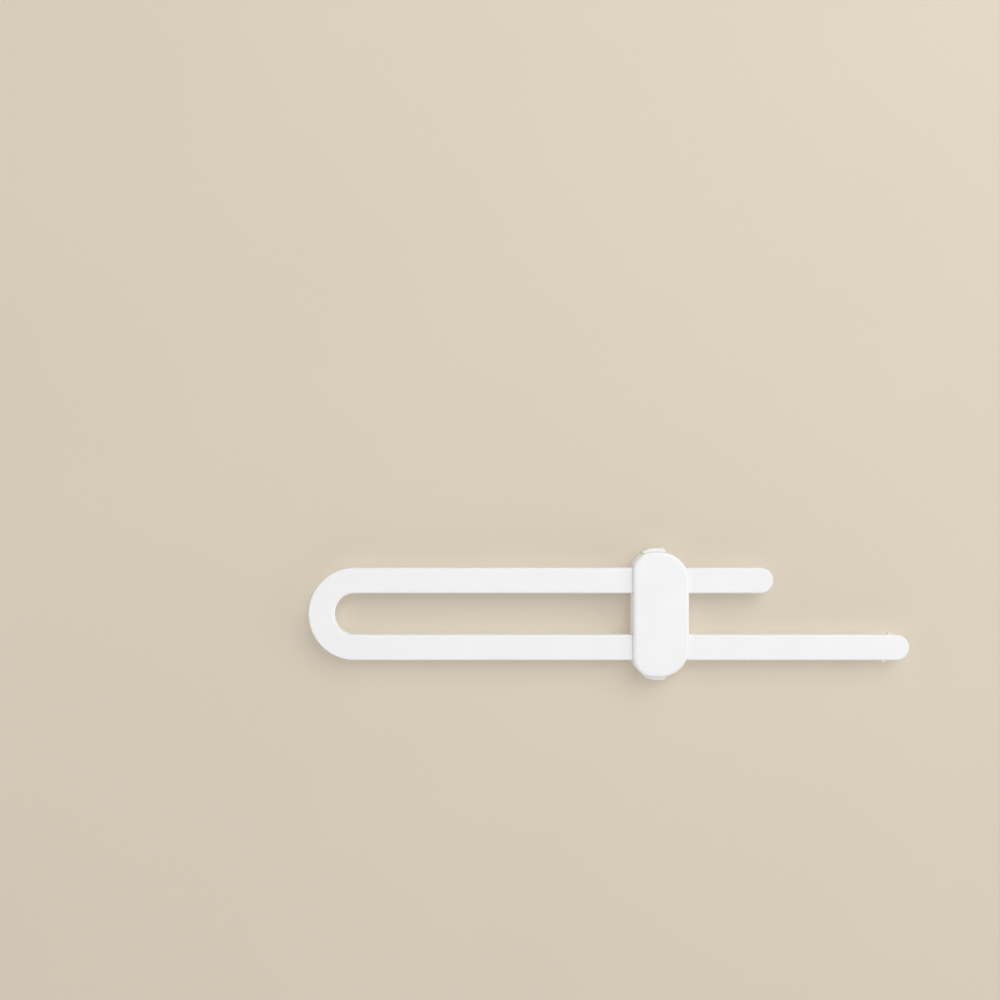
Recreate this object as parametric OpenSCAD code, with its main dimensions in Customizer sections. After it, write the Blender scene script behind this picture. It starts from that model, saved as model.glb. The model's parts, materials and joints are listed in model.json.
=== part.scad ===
// Sliding cabinet lock: a U-shaped ratchet rail and a slider with two squeeze buttons.
// Lies on its back: X runs along the arms with the bow at the low end, Z points to the front face.

/* [Rail] */
// Width of each arm, seen from the front
arm_w = 11; // [9:0.5:14]
// Thickness of the rail, front to back
rail_t = 4.5; // [4:0.1:6]
// Inner radius of the bow
bow_r = 9; // [8:0.5:14]
// Length of the short arm, from the bow's centre to its tip
short_arm = 181.3; // [165:0.1:200]
// Length of the long arm, from the bow's centre to its tip
long_arm = 240.2; // [225:0.1:300]
// Rounding of the rail's edges
rail_edge = 0.8; // [0.4:0.1:1.1]

/* [Rack] */
// Depth of the groove in the back of the rail
groove_depth = 2; // [1.6:0.1:2.4]
// Wall between the groove and the inner edge of an arm
groove_wall_in = 2.4; // [1.6:0.1:2.8]
// Wall between the tooth roots and the outer edge of an arm
groove_wall_out = 2.2; // [1.6:0.1:2.8]
// Distance from one tooth to the next
tooth_pitch = 3; // [2:0.5:4]
// Height of a tooth above its root
tooth_h = 1; // [0.6:0.1:1.1]
// Bow centre to the first tooth, at least
rack_from = 9; // [4:1:30]
// Plain stretch of groove between the last tooth and the round of the tip
rack_end = 2; // [1:0.5:8]

/* [Stop nubs] */
// Tip of the long arm to the nub on its outer edge
outer_nub_back = 10.5; // [8:0.1:12]
// Tip of the long arm to the nub on its inner edge
inner_nub_back = 7.9; // [7:0.1:12]
// How far the outer nub stands out
outer_nub_h = 1; // [0.5:0.1:1.2]
// How far the inner nub stands out
inner_nub_h = 0.8; // [0.4:0.1:1.2]
// Length of each nub along the arm
nub_w = 1.4; // [1:0.1:2]

/* [Slider] */
// Bow centre to the slider's near edge, in the locked position shown
slider_x = 120.5; // [60:0.1:130]
// Width of the slider along the rail
slider_w = 24; // [22:0.5:32]
// Radius of the two corners towards the bow
corner_near = 8.5; // [7:0.1:9.5]
// Radius of the two corners away from the bow
corner_far = 12.6; // [9:0.1:13]
// Rounding of the rim of the front face
front_edge = 1.6; // [0.6:0.1:2]
// Rounding of the rim of the back face
back_edge = 0.8; // [0.4:0.1:1.2]
// Rounding of both shells where they meet, which shows as a fine line
parting_edge = 0.25; // [0.1:0.05:0.5]
// Side walls of both shells
shell_wall = 2; // [1.6:0.1:2.4]
// Thickness of the front face
front_wall = 2.6; // [2:0.1:4]
// Thickness of the back plate
back_wall = 2; // [1.8:0.1:3]
// Clearance between the rail and the slider
slide_gap = 0.3; // [0.2:0.05:0.5]

/* [Buttons] */
// Slider's near edge to the squeeze tabs
tab_near = 4.5; // [3.8:0.1:5.5]
// How far a tab stands out of the slider
button_out = 1.5; // [1.5:0.1:3]
// How far a tab can be squeezed in
button_travel = 1.3; // [1.2:0.05:1.4]
// Rounding of a tab's rim
button_edge = 0.5; // [0.3:0.1:0.7]
// Radius of a tab's far corner
button_corner = 1; // [0.8:0.1:1.6]
// Radius of a tab's rounded near end
tab_round = 12; // [9:0.5:15]
// Flat stretch of a tab's end
tab_flat = 2.7; // [1.5:0.1:4]
// Thickness of the button's plate behind the arm
button_plate = 2.4; // [1.8:0.1:3]
// Thickness of the flange that keeps a button in
flange_t = 2; // [1.4:0.1:2.4]
// How far the flange reaches past each side of the tab
flange_side = 2; // [1:0.1:2.2]
// Thickness of the block that the spring pushes on
block_t = 2.2; // [1.6:0.1:3]
// Clearance round a button
button_gap = 0.3; // [0.2:0.05:0.4]
// Clearance between the pawl and the rack
mesh_gap = 0.2; // [0.1:0.05:0.25]

/* [Springs] */
// Outer diameter of a spring
spring_d = 4.6; // [4.2:0.1:5.2]
// Wire of a spring
spring_wire = 0.5; // [0.4:0.05:0.6]
// Turns of a spring
spring_turns = 4.5; // [3:0.5:4.5]
// Clearance between a spring and the pegs inside it
peg_gap = 0.4; // [0.2:0.05:0.6]

/* [Screws] */
// Diameter of a screw's shank
screw_d = 2.2; // [1.8:0.1:2.6]
// Diameter of a screw's head
screw_head_d = 4.2; // [3.6:0.1:4.4]
// Height of a screw's head
screw_head_h = 1.3; // [1:0.1:1.5]
// Length of a screw under its head
screw_len = 6.8; // [5:0.1:7]
// Diameter of the bosses that take the screws
boss_d = 5.6; // [5.2:0.1:6]
// Room on each side of a boss
boss_room = 0.55; // [0.4:0.05:1]

/* [Hidden] */
$fn = 64;

// Run of every cut past the face that it opens
overrun = 1;

// Heights, from the back of the slider to its front
plate_z = back_wall + button_gap;
parting_z = plate_z + button_plate;
rail_z = parting_z + slide_gap;
rail_front_z = rail_z + rail_t;
front_in_z = rail_front_z + slide_gap;
front_z = front_in_z + front_wall;
button_front_z = front_in_z - button_gap;

// Rail, in plan
bow_out_r = bow_r + arm_w;
arm_y = bow_r + arm_w / 2;
tip_r = arm_w / 2;
rail_x = bow_out_r - (bow_out_r + long_arm) / 2;
groove_in = bow_r + groove_wall_in;
groove_root = bow_out_r - groove_wall_out;
nub_t = rail_t - 2 * rail_edge - 2 * slide_gap;

// Slider, in plan: the end room takes the flange, its travel and some air
end_spare = 1.1;
end_room = button_gap + flange_t + button_travel + slide_gap + end_spare;
slider_half = bow_out_r + end_room + shell_wall;
least_flat = 1;
corner_far_r = min(corner_far, slider_w - corner_near - least_flat);

// Lips and guides inside the back cover
rib_t = 2;
lip_t = 1;
lip_h = 1.2;
lip_gap = 0.15;
lip_y0 = rib_t / 2 + button_gap;
lip_y1 = bow_r - slide_gap - lip_t;
guide_t = 1.2;
guide_h = button_plate - button_gap;

// Bosses, between the buttons and the far lips, and between the middle rib and the arms
boss_x1 = slider_w - shell_wall - lip_gap - lip_t - boss_room;
screw_x = boss_x1 - boss_d / 2;
screw_y = (rib_t / 2 + bow_r - slide_gap) / 2;

// Buttons, from the slider's near edge and the middle of the slider
button_x0 = tab_near;
button_x1 = boss_x1 - boss_d - boss_room;
button_w = button_x1 - button_x0;
button_x = (button_x0 + button_x1) / 2;
tab_edge = min(button_edge, button_corner / 2);
flange_y = slider_half - shell_wall - button_gap - flange_t;
block_y1 = bow_r - button_gap;
block_y0 = block_y1 - block_t;
pawl_teeth = floor(button_w / tooth_pitch);
pawl_x1 = button_x + pawl_teeth * tooth_pitch / 2;
pawl_x0 = pawl_x1 - pawl_teeth * tooth_pitch;
pawl_y0 = groove_in + button_travel + button_gap;
pawl_front_z = rail_z + groove_depth - slide_gap;

// Springs, between the middle rib and the button's block
spring_seat_gap = 0.05;
spring_y0 = rib_t / 2 + spring_seat_gap;
spring_y1 = block_y0 - spring_seat_gap;
spring_z = (plate_z + button_front_z) / 2;
peg_d = spring_d - 2 * spring_wire - 2 * peg_gap;
peg_len = (spring_y1 - spring_y0 - button_travel) / 3;
wire_sides = 6;
rings_per_turn = 8;

// Screws and what they hold
screw_fit = 0.05;
head_fit = 0.2;
head_sink = 0.3;
head_seat_z = head_sink + screw_head_h;
pad_h = 1;
boss_z = back_wall + pad_h;
pilot_spare = 0.4;
recess_d = 2.2;
recess_w = 0.6;
recess_h = 0.7;

// A tooth's steep face stands at each of these places when the slider is where it is shown
function tooth_x(i) = slider_x + pawl_x1 + i * tooth_pitch;

// Width of a slab's drawn sides, as a share of its smaller corner
band_share = 0.9;

// Cross-section of the rail, its middle at zero
module rail_section() {
  square([arm_w - 2 * rail_edge, rail_t], center = true);
  square([arm_w, rail_t - 2 * rail_edge], center = true);
  for (side = [-1, 1], face = [-1, 1])
    translate([side * (arm_w / 2 - rail_edge), face * (rail_t / 2 - rail_edge)])
      circle(rail_edge);
}

// The half of that section on one side of its middle
module rail_half_section() {
  intersection() {
    rail_section();
    translate([0, -rail_t])
      square([arm_w, 2 * rail_t]);
  }
}

// One straight arm with its round tip, along X from the bow's centre
module arm(length) {
  rotate([90, 0, 90])
    linear_extrude(length - tip_r)
      rail_section();
  translate([length - tip_r, 0, 0])
    rotate([0, 0, -90])
      rotate_extrude(angle = 180)
        rail_half_section();
}

// Groove of the upper arm, with saw teeth left standing on its outer wall
module arm_groove(length) {
  first = ceil((rack_from - tooth_x(0)) / tooth_pitch);
  last = floor((length - tip_r - rack_end - tooth_x(0)) / tooth_pitch);
  teeth = [for (i = [last - 1 : -1 : first])
    each [[tooth_x(i), groove_root - tooth_h], [tooth_x(i), groove_root]]];
  outline = concat(
    [[0, groove_root], [0, groove_in], [length + overrun, groove_in],
     [length + overrun, groove_root], [tooth_x(last), groove_root]],
    teeth);
  translate([0, 0, rail_z - overrun])
    linear_extrude(groove_depth + overrun)
      polygon(outline);
}

// Groove round the bow
module bow_groove() {
  rotate([0, 0, 90])
    rotate_extrude(angle = 180)
      translate([groove_in, rail_z - overrun])
        square([groove_root - groove_in, groove_depth + overrun]);
}

// A stop nub: steep towards the slider, sloped towards the tip, rooted in the arm's edge
module nub(x, y, height) {
  translate([x, y, rail_z + rail_t / 2])
    linear_extrude(nub_t, center = true)
      polygon([[-nub_w / 2, -nub_w], [nub_w / 2, -nub_w], [nub_w / 2, 0],
               [-nub_w / 4, height], [-nub_w / 2, height]]);
}

module rail() {
  color("white")
    translate([rail_x, 0, 0])
      difference() {
        union() {
          translate([0, 0, rail_z + rail_t / 2]) {
            rotate([0, 0, 90])
              rotate_extrude(angle = 180)
                translate([arm_y, 0])
                  rail_section();
            translate([0, arm_y, 0])
              arm(short_arm);
            translate([0, -arm_y, 0])
              arm(long_arm);
          }
          mirror([0, 1, 0])
            nub(long_arm - outer_nub_back, bow_out_r, outer_nub_h);
          nub(long_arm - inner_nub_back, -bow_r, inner_nub_h);
        }
        bow_groove();
        arm_groove(short_arm);
        mirror([0, 1, 0])
          arm_groove(long_arm);
      }
}

// Places what belongs to the slider, from the slider's near edge
module on_slider() {
  translate([rail_x + slider_x, 0, 0])
    children();
}

// Section of a slab's rim: flat inside, rounded at the front and back of its outer side
module rim_section(depth, z0, z1, front_r, back_r) {
  translate([0, z0 + back_r])
    square([depth, z1 - z0 - front_r - back_r]);
  translate([0, z0])
    square([depth - max(front_r, back_r), z1 - z0]);
  if (front_r > 0)
    translate([depth - front_r, z1 - front_r])
      circle(front_r);
  if (back_r > 0)
    translate([depth - back_r, z0 + back_r])
      circle(back_r);
}

// A slab with round corners and rounded rims: corners are turned, sides are drawn, and a flat middle
// reaches into all of them
module slab(x0, x1, half, r_near, r_far, z0, z1, front_r = 0, back_r = 0) {
  band = band_share * min(r_near, r_far);
  near_c = x0 + r_near;
  far_c = x1 - r_far;
  near_y = half - r_near;
  far_y = half - r_far;
  corners = [[far_c, far_y, r_far, 0], [near_c, near_y, r_near, 90],
             [near_c, -near_y, r_near, 180], [far_c, -far_y, r_far, 270]];
  for (c = corners)
    translate([c[0], c[1], 0])
      rotate([0, 0, c[3]])
        rotate_extrude(angle = 90)
          rim_section(c[2], z0, z1, front_r, back_r);
  for (side = [0, 1])
    mirror([0, side, 0])
      translate([near_c, half - band, 0])
        rotate([90, 0, 90])
          linear_extrude(far_c - near_c)
            rim_section(band, z0, z1, front_r, back_r);
  translate([x1 - band, far_y, 0])
    rotate([90, 0, 0])
      linear_extrude(2 * far_y)
        rim_section(band, z0, z1, front_r, back_r);
  translate([x0 + band, near_y, 0])
    mirror([1, 0, 0])
      rotate([90, 0, 0])
        linear_extrude(2 * near_y)
          rim_section(band, z0, z1, front_r, back_r);
  inset = (band + max(front_r, back_r)) / 2;
  far_reach = (r_far - inset) * cos(45);
  near_reach = (r_near - inset) * cos(45);
  upper = [[x1 - inset, far_y], [far_c + far_reach, far_y + far_reach], [far_c, half - inset],
           [near_c, half - inset], [near_c - near_reach, near_y + near_reach], [x0 + inset, near_y]];
  lower = [for (i = [len(upper) - 1 : -1 : 0]) [upper[i][0], -upper[i][1]]];
  translate([0, 0, z0])
    linear_extrude(z1 - z0)
      polygon(concat(upper, lower));
}

// The slider's plan, drawn in by an inset, between two heights
module slider_slab(inset, z0, z1, front_r = 0, back_r = 0) {
  slab(inset, slider_w - inset, slider_half - inset, corner_near - inset, corner_far_r - inset,
       z0, z1, front_r, back_r);
}

// A box between two corners
module block(low, high) {
  translate(low)
    cube(high - low);
}

// Draws its children at the upper and the lower end of the slider
module both_ends() {
  children();
  mirror([0, 1, 0])
    children();
}

// Window in an end wall for a button's tab
module tab_window(z0, z1) {
  block([button_x0 - button_gap, flange_y, z0], [button_x1 + button_gap, slider_half + overrun, z1]);
}

// A peg along Y that centres a spring
module spring_peg(y0, y1) {
  translate([button_x, y1, spring_z])
    rotate([90, 0, 0])
      cylinder(d = peg_d, h = y1 - y0);
}

module front_housing() {
  color("white")
    on_slider()
      difference() {
        union() {
          difference() {
            slider_slab(0, parting_z, front_z, front_edge, parting_edge);
            slider_slab(shell_wall, parting_z - overrun, front_in_z);
            both_ends() {
              block([-overrun, bow_r - slide_gap, parting_z - overrun],
                    [slider_w + overrun, bow_out_r + slide_gap, front_in_z]);
              tab_window(parting_z - overrun, front_in_z);
            }
          }
          block([shell_wall + lip_gap, -rib_t / 2, plate_z],
                [slider_w - shell_wall - lip_gap, rib_t / 2, front_in_z + front_wall / 2]);
          block([shell_wall / 2, -rib_t / 2, parting_z + lip_gap],
                [slider_w - shell_wall / 2, rib_t / 2, front_in_z + front_wall / 2]);
          both_ends() {
            translate([screw_x, screw_y, boss_z])
              cylinder(d = boss_d, h = front_in_z + front_wall / 2 - boss_z);
            spring_peg(0, rib_t / 2 + peg_len);
          }
        }
        both_ends()
          translate([screw_x, screw_y, boss_z - overrun])
            cylinder(d = screw_d + 2 * screw_fit,
                     h = head_seat_z + screw_len + pilot_spare - boss_z + overrun);
      }
}

module back_cover() {
  color("white")
    on_slider()
      difference() {
        union() {
          difference() {
            slider_slab(0, 0, parting_z, parting_edge, back_edge);
            slider_slab(shell_wall, back_wall, parting_z + overrun);
            both_ends()
              tab_window(back_wall, parting_z + overrun);
          }
          both_ends() {
            for (x = [shell_wall + lip_gap, slider_w - shell_wall - lip_gap - lip_t])
              block([x, lip_y0, back_wall / 2], [x + lip_t, lip_y1, parting_z + lip_h]);
            for (x = [button_x0 - button_gap - guide_t, button_x1 + button_gap])
              block([x, bow_r, back_wall / 2], [x + guide_t, bow_out_r, back_wall + guide_h]);
            translate([screw_x, screw_y, back_wall / 2])
              cylinder(d = boss_d, h = boss_z - back_wall / 2);
          }
        }
        both_ends()
          translate([screw_x, screw_y, -overrun]) {
            cylinder(d = screw_d + 2 * screw_fit, h = boss_z + 2 * overrun);
            cylinder(d = screw_head_d + 2 * head_fit, h = head_seat_z + overrun);
          }
      }
}

// Pawl: teeth that fill the gaps of the rack, less the mesh clearance
module pawl() {
  peaks = [for (i = [1 : pawl_teeth])
    each [[pawl_x0 + i * tooth_pitch - mesh_gap, groove_root - mesh_gap],
          [pawl_x0 + i * tooth_pitch - mesh_gap, groove_root - tooth_h - mesh_gap]]];
  outline = concat(
    [[pawl_x1 - mesh_gap, pawl_y0], [pawl_x0 - mesh_gap, pawl_y0],
     [pawl_x0 - mesh_gap, groove_root - tooth_h - mesh_gap]],
    peaks);
  translate([0, 0, plate_z + button_plate / 2])
    linear_extrude(pawl_front_z - plate_z - button_plate / 2)
      polygon(outline);
}

// A squeeze button: tab, flange, plate behind the arm, pawl, and block with its spring peg
module button() {
  intersection() {
    slab(button_x1 - button_corner - tab_flat - tab_round, button_x1, slider_half + button_out,
         tab_round, button_corner, plate_z, button_front_z, tab_edge, tab_edge);
    block([button_x0, flange_y, 0], [slider_w, slider_half + button_out + overrun, front_z]);
  }
  intersection() {
    slider_slab(shell_wall + button_gap, plate_z, button_front_z);
    block([button_x0 - flange_side, flange_y, 0], [button_x1 + flange_side, slider_half, front_z]);
  }
  block([button_x0, block_y0, plate_z], [button_x1, flange_y + flange_t / 2, parting_z]);
  block([button_x0, block_y0, plate_z], [button_x1, block_y1, button_front_z]);
  spring_peg(block_y0 - peg_len, block_y0 + block_t / 2);
  pawl();
}

module upper_button() {
  color("whitesmoke")
    on_slider()
      button();
}

module lower_button() {
  color("whitesmoke")
    on_slider()
      mirror([0, 1, 0])
        button();
}

// Points of a ring of wire round the helix, at a share of the spring's length
function wire_ring(share) =
  let (turn = 360 * spring_turns * share,
       coil_r = (spring_d - spring_wire) / 2,
       run = spring_y1 - spring_y0 - spring_wire,
       y = spring_y0 + spring_wire / 2 + run * share)
  [for (k = [0 : wire_sides - 1])
    let (a = 360 * k / wire_sides,
         r = coil_r + spring_wire / 2 * cos(a))
    [r * cos(turn), y + spring_wire / 2 * sin(a), r * sin(turn)]];

spring_rings = ceil(spring_turns * rings_per_turn);
spring_self_gap = (spring_y1 - spring_y0 - spring_wire) / spring_turns - spring_wire;
echo(spring_self_gap = spring_self_gap);

// One unbroken tube of wire, wound along Y
module spring() {
  points = [for (i = [0 : spring_rings]) each wire_ring(i / spring_rings)];
  sides = [for (i = [0 : spring_rings - 1], k = [0 : wire_sides - 1])
    let (a = i * wire_sides + k,
         b = i * wire_sides + (k + 1) % wire_sides)
    each [[a, a + wire_sides, b], [b, a + wire_sides, b + wire_sides]]];
  start = [for (k = [1 : wire_sides - 2]) [0, k, k + 1]];
  tail = spring_rings * wire_sides;
  finish = [for (k = [1 : wire_sides - 2]) [tail, tail + k + 1, tail + k]];
  translate([button_x, 0, spring_z])
    polyhedron(points, concat(sides, start, finish));
}

module upper_spring() {
  color("silver")
    on_slider()
      spring();
}

module lower_spring() {
  color("silver")
    on_slider()
      rotate([0, 0, 180])
        translate([-2 * button_x, 0, 0])
          spring();
}

// A screw driven in from the back, with a cross recess in its head
module screw() {
  translate([screw_x, screw_y, 0])
    difference() {
      union() {
        translate([0, 0, head_sink])
          cylinder(d = screw_head_d, h = screw_head_h);
        translate([0, 0, head_sink])
          cylinder(d = screw_d, h = screw_head_h + screw_len);
      }
      for (turn = [0, 90])
        rotate([0, 0, turn])
          translate([-recess_d / 2, -recess_w / 2, head_sink - overrun])
            cube([recess_d, recess_w, recess_h + overrun]);
    }
}

module upper_screw() {
  color("silver")
    on_slider()
      screw();
}

module lower_screw() {
  color("silver")
    on_slider()
      mirror([0, 1, 0])
        screw();
}

rail();
front_housing();
back_cover();
upper_button();
lower_button();
upper_spring();
lower_spring();
upper_screw();
lower_screw();
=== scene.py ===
"""Sliding cabinet lock: moulded rail, two-part slider, squeeze buttons, springs and screws, with finishes.

Every piece is a surface worked out with numpy around the packed frame, in metres, with its place in its mesh.
"""

import json
import math

import bpy
import numpy as np
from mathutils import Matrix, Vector

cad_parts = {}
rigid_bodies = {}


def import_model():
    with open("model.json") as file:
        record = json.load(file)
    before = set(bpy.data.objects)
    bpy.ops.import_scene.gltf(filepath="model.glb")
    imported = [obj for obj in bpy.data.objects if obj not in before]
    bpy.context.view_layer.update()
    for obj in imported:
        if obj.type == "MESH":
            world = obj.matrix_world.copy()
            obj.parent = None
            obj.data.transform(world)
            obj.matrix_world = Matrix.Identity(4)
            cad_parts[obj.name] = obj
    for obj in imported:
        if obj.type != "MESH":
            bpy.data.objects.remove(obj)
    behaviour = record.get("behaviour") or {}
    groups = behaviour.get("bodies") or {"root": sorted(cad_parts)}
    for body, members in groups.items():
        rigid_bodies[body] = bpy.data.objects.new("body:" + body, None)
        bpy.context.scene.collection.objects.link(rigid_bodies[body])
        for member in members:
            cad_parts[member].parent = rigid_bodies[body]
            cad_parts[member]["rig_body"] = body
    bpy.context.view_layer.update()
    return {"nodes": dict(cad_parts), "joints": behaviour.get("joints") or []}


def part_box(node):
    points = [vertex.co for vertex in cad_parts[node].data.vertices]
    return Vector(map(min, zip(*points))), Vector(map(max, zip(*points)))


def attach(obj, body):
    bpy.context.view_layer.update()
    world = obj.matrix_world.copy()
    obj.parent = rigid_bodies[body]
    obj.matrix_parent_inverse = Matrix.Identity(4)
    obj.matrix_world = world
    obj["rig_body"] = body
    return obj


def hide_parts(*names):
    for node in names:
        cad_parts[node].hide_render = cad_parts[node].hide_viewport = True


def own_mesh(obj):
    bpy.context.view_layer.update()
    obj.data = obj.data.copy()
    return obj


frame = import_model()

bl_info = {
    "name": "Sliding cabinet lock",
    "version": (1, 0, 0),
    "blender": (4, 5, 0),
    "location": "View3D > Sidebar > Lock",
    "description": "Makes the pieces of a sliding cabinet lock, their finishes and a studio stage",
    "category": "Add Mesh",
}

MM = 0.001
# Points nearer to each other than this become one
WELD = 1e-7
# Step that tells the two sides of a jump apart
TINY = 1e-8
# Flat stretch kept beside each rounded edge, so that flat faces shade flat
FLAT = 0.03 * MM
# Edges that turn more than this stay crisp
CRISP = math.radians(32)
# Points round a full circle
ROUND = 48

# Lowest and highest corner of each node
BOX = {name: [np.array(corner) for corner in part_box(name)] for name in frame["nodes"]}
RAIL_LOW, RAIL_HIGH = BOX["rail"]
SHELL_LOW, SHELL_HIGH = BOX["front_housing"]
COVER_LOW, COVER_HIGH = BOX["back_cover"]
BUTTON_LOW, BUTTON_HIGH = BOX["upper_button"]
SPRING_LOW, SPRING_HIGH = BOX["upper_spring"]
SCREW_LOW, SCREW_HIGH = BOX["upper_screw"]
# Where both springs' axis, which runs along Y, passes in X and Z
SPRING_AXIS = (SPRING_LOW[[0, 2]] + SPRING_HIGH[[0, 2]]) / 2
JOINT = {joint["name"]: joint for joint in frame["joints"]}
PRESS = JOINT["upper_button_press"]["range_m"][1]


def length(name, description, millimetres):
    """A length of the lock, given in millimetres and kept in metres."""
    return bpy.props.FloatProperty(
        name=name, description=description, default=millimetres * MM, min=0.0, unit="LENGTH", precision=5)


def fraction(name, description, default):
    """A share of a whole."""
    return bpy.props.FloatProperty(
        name=name, description=description, default=default, min=0.0, max=1.0, subtype="FACTOR")


def measure(name, description, default, **kind):
    """A plain number, or a measure of the given kind."""
    return bpy.props.FloatProperty(name=name, description=description, default=default, min=0.0, **kind)


def colour(name, description, default):
    """A linear colour without transparency."""
    return bpy.props.FloatVectorProperty(
        name=name, description=description, default=default, size=3, min=0.0, max=1.0, subtype="COLOR")


class LockRailSizes(bpy.types.PropertyGroup):
    """Sizes of the rail."""

    arm_w: length("Arm width", "Width of each arm, seen from the front", 11)
    bow_r: length("Bow radius", "Inner radius of the bow", 9)
    short_arm: length("Short arm", "Bow centre to the tip of the short arm", 181.3)
    edge: length("Edge", "Rounding of the rail's edges", 0.8)
    groove_depth: length("Groove depth", "Depth of the groove in the back", 2)
    groove_wall_in: length("Inner wall", "Wall between the groove and an arm's inner edge", 2.4)
    groove_wall_out: length("Outer wall", "Wall between the tooth roots and an arm's outer edge", 2.2)
    groove_lip: length("Groove lip", "Chamfer along the mouth of the groove", 0.15)
    tooth_pitch: length("Tooth pitch", "Distance from one tooth to the next", 3)
    tooth_h: length("Tooth height", "Height of a tooth above its root", 1)
    tooth_blunt: length("Tooth tip", "How much the sharp tip of a tooth is taken down", 0.15)
    rack_from: length("Rack start", "Bow centre to the first tooth, at least", 9)
    rack_end: length("Rack end", "Plain groove between the last tooth and the round of the tip", 2)
    mouth_edge: length("Mouth edge", "Rounding of the thin tongue at each tip", 0.3)
    outer_nub_back: length("Outer nub place", "Tip of the long arm to its outer nub", 10.5)
    inner_nub_back: length("Inner nub place", "Tip of the long arm to its inner nub", 7.9)
    outer_nub_h: length("Outer nub", "How far the outer nub stands out", 1)
    inner_nub_h: length("Inner nub", "How far the inner nub stands out", 0.8)
    nub_w: length("Nub length", "Length of each nub along the arm", 1.4)
    nub_t: length("Nub thickness", "Thickness of each nub, front to back", 2.3)
    pin_d: length("Pin mark", "Diameter of the ejector pins' marks in the groove", 2.4)
    pin_h: length("Pin mark height", "How far a pin's mark stands proud", 0.06)
    pin_pitch: length("Pin mark spacing", "Distance from one pin's mark to the next", 36)


class LockSliderSizes(bpy.types.PropertyGroup):
    """Sizes of the slider's two shells."""

    corner_near: length("Near corner", "Radius of the corners towards the bow", 8.5)
    corner_far: length("Far corner", "Radius of the corners away from the bow", 12.6)
    front_edge: length("Front edge", "Rounding of the rim of the front face", 1.6)
    crown: length("Crown", "How much the front face falls towards its rim", 0.1)
    back_edge: length("Back edge", "Rounding of the rim of the back face", 0.8)
    parting_edge: length("Parting edge", "Rounding of both shells where they meet", 0.25)
    shell_wall: length("Side wall", "Side walls of both shells", 2)
    front_wall: length("Front wall", "Thickness of the front face", 2.6)
    back_wall: length("Back wall", "Thickness of the back plate", 2)
    slide_gap: length("Slide gap", "Clearance between the rail and the slider", 0.3)
    window_near: length("Window start", "Slider's near edge to a tab's window", 4.2)
    window_far: length("Window end", "Slider's near edge to the far side of a tab's window", 14.45)
    rib_t: length("Rib", "Thickness of the rib between the springs", 2)
    lip_t: length("Lip", "Thickness of the lips that locate the shells", 1)
    lip_h: length("Lip height", "How far the lips stand above the joint", 1.2)
    lip_gap: length("Lip gap", "Clearance beside a lip", 0.15)
    guide_t: length("Guide", "Thickness of the ribs that guide a button", 1.2)
    guide_h: length("Guide height", "Height of those ribs above the back plate", 2.1)
    boss_d: length("Boss", "Diameter of the bosses that take the screws", 5.6)
    pad_h: length("Pad", "Height of the pads under the bosses", 1)
    soft: length("Small edge", "Rounding of small ribs and pegs", 0.15)


class LockButtonSizes(bpy.types.PropertyGroup):
    """Sizes of the two squeeze buttons."""

    tab_near: length("Tab start", "Slider's near edge to the tab", 4.5)
    tab_far: length("Tab end", "Slider's near edge to the far side of the tab", 14.15)
    tab_edge: length("Tab edge", "Rounding of the tab's rim", 0.5)
    tab_corner: length("Tab corner", "Radius of the tab's two corners", 1)
    tab_round: length("Tab round", "Radius of the tab's rounded near end", 12)
    tab_flat: length("Tab flat", "Flat stretch of the tab's end", 2.7)
    flange_t: length("Flange", "Thickness of the flange that keeps a button in", 2)
    flange_side: length("Flange side", "How far the flange reaches past the tab", 2)
    plate_t: length("Plate", "Thickness of the plate behind the arm", 2.4)
    block_t: length("Block", "Thickness of the block that the spring pushes on", 2.2)
    gap: length("Gap", "Clearance round a button", 0.3)
    mesh_gap: length("Mesh gap", "Clearance between the pawl and the rack", 0.2)
    peg_d: length("Peg", "Diameter of the pegs that centre a spring", 2.8)


class LockMetalSizes(bpy.types.PropertyGroup):
    """Sizes of the springs and screws."""

    wire: length("Wire", "Wire of a spring", 0.5)
    turns: measure("Turns", "Turns of a spring", 4.5)
    end_turns: measure("End turns", "Closed turns at each end of a spring", 0.75)
    end_pitch: measure("End pitch", "Pitch of the closed turns, in wire diameters", 1.06)
    seat_gap: length("Seat gap", "Clearance between a spring and the rib behind it", 0.05)
    shank_d: length("Shank", "Diameter over a screw's thread", 2.2)
    core_d: length("Core", "Diameter of a screw's core", 1.6)
    thread: length("Thread pitch", "Distance from one thread to the next", 0.8)
    ridge: fraction("Thread ridge", "Half the foot of the thread's ridge, as a share of its pitch", 0.28)
    point_l: length("Point", "Length of the pointed end of a screw", 3.52)
    head_h: length("Head", "Height of a screw's head", 1.3)
    head_fit: length("Head clearance", "Clearance round a screw's head", 0.2)
    head_edge: length("Head edge", "Rounding of a screw's head", 0.3)
    recess_d: length("Recess", "Span of the cross recess", 2.2)
    recess_w: length("Recess width", "Width of the cross recess's arms", 0.6)
    recess_h: length("Recess depth", "Depth of the cross recess", 0.7)
    recess_slope: length("Recess slope", "Width of the slope round the cross recess", 0.12)
    recess_fall: fraction("Recess fall", "How much of its depth the recess loses towards its ends", 0.45)
    bore_fit: length("Bore clearance", "Clearance round a screw's shank", 0.05)
    bore_end: length("Bore end", "Bore left free past a screw's point", 0.4)
    seat_edge: length("Seat edge", "Chamfer of the screw seats in the back", 0.2)


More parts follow.
